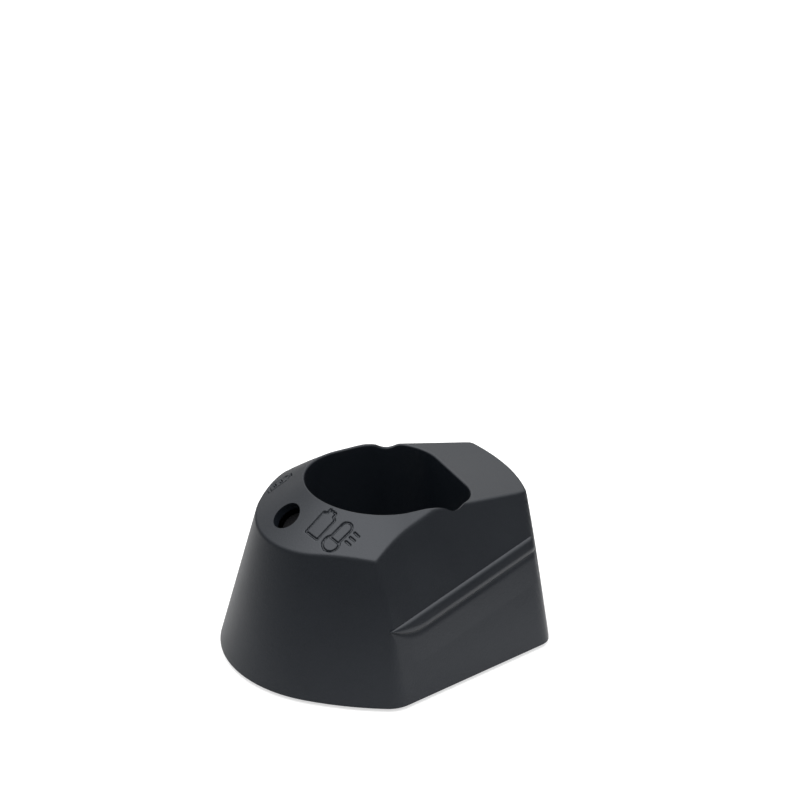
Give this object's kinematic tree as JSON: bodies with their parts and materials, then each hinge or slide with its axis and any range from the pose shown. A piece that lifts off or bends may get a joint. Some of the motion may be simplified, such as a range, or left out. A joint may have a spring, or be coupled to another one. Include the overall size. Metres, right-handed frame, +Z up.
{
  "type": "battery charger",
  "caption": "Desktop charger for a slide-in stick battery: drafted black housing with an open contact well in its sloping top, an indicator hole and a rear mains inlet.",
  "frame": {"origin": "centre of the footprint's bounding box, on the table under the rubber feet", "axes": "+Z up, -Y the nose with the indicator, +Y the rear with the mains inlet, +X the right side seen from the rear"},
  "size_m": [0.0716, 0.082, 0.0449],
  "materials": {
    "housing": "fine-grained moulded, satin",
    "base": "fine-grained moulded, matt",
    "foot": "matt",
    "steel": "zinc plated",
    "board": "solder mask",
    "brass_screw": "plated",
    "sheet": "thin film",
    "inlet_body": "moulded",
    "contact": "tinned",
    "fuse_body": "moulded",
    "copper": "enamelled wire",
    "film_cap": "moulded case",
    "chip": "moulded",
    "can_sleeve": "shrink sleeve",
    "heat_sink": "rolled",
    "ferrite": "sintered",
    "tape": "wrapped tape",
    "safety_cap": "dipped lacquer",
    "opto": "moulded",
    "output_sleeve": "shrink sleeve",
    "block": "moulded",
    "diode": "clear resin",
    "lens": "smoked lens"
  },
  "bodies": {
    "root": {"upper_housing": "housing", "base_plate": "base", "rubber_feet": "foot", "housing_screws": "steel", "circuit_board": "board", "board_screws": "brass_screw", "insulation_sheet": "sheet", "mains_inlet": "inlet_body", "inlet_pins": "contact", "fuse": "fuse_body", "suppression_choke": "copper", "line_capacitor": "film_cap", "bridge_rectifier": "chip", "input_capacitor": "can_sleeve", "switching_transistor": "chip", "heat_sink": "heat_sink", "transformer_core": "ferrite", "transformer_winding": "tape", "safety_capacitor": "safety_cap", "optocoupler": "opto", "output_rectifier": "chip", "output_capacitors": "output_sleeve", "charge_controller": "chip", "terminal_block": "block", "positive_blade": "contact", "negative_blade": "contact", "sense_blades": "contact", "status_led": "diode", "light_pipe": "lens"}
  },
  "joints": []
}
